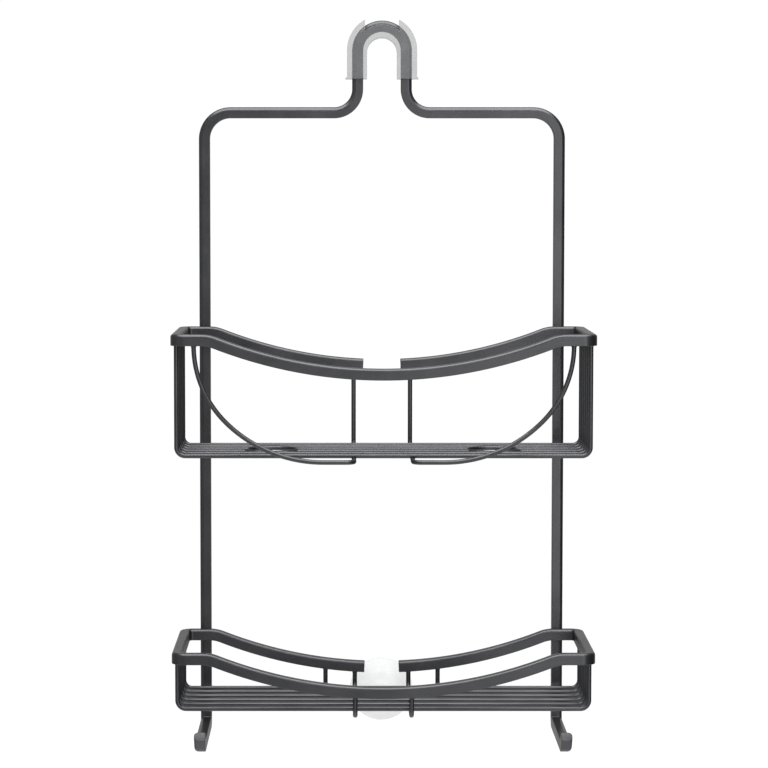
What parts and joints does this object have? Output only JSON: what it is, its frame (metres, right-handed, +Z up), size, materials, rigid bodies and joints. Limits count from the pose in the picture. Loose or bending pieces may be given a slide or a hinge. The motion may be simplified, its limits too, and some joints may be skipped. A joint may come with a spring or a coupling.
{
  "type": "shower caddy",
  "caption": "Hanging shower caddy: bent bar frame with a sleeved hook, two wire baskets, bottle openings, two lower arms and a suction cup.",
  "frame": {"origin": "centre of the pipe seat in the hook's sleeve, halfway along the pipe", "axes": "+X to the caddy's right seen from the front, +Y towards the wall, +Z up"},
  "size_m": [0.2946, 0.1265, 0.5164],
  "materials": {
    "charcoal_aluminium": "satin charcoal, anodised",
    "sleeve_vinyl": "clear, slightly frosted, soft",
    "cup_vinyl": "clear, soft"
  },
  "bodies": {
    "caddy": {"frame_rod": "charcoal_aluminium", "hook_sleeve": "sleeve_vinyl", "upper_rail": "charcoal_aluminium", "upper_floor_wire_1": "charcoal_aluminium", "upper_floor_wire_2": "charcoal_aluminium", "upper_floor_wire_3": "charcoal_aluminium", "upper_floor_wire_4": "charcoal_aluminium", "upper_floor_wire_5": "charcoal_aluminium", "upper_floor_wire_6": "charcoal_aluminium", "upper_support_wire_left": "charcoal_aluminium", "upper_support_wire_right": "charcoal_aluminium", "lower_rail": "charcoal_aluminium", "lower_floor_wire_1": "charcoal_aluminium", "lower_floor_wire_2": "charcoal_aluminium", "lower_floor_wire_3": "charcoal_aluminium", "lower_floor_wire_4": "charcoal_aluminium", "lower_floor_wire_5": "charcoal_aluminium", "lower_floor_wire_6": "charcoal_aluminium", "lower_support_wire_left": "charcoal_aluminium", "lower_support_wire_right": "charcoal_aluminium", "lower_back_wire_left": "charcoal_aluminium", "lower_back_wire_right": "charcoal_aluminium", "cup_bracket": "charcoal_aluminium"},
    "cup": {"suction_cup": "cup_vinyl"}
  },
  "joints": [
    {"name": "cup_turn", "type": "hinge", "parent": "caddy", "child": "cup", "pos_m": [0, 0, -0.4653], "axis": [0, 1, 0], "continuous": true}
  ]
}
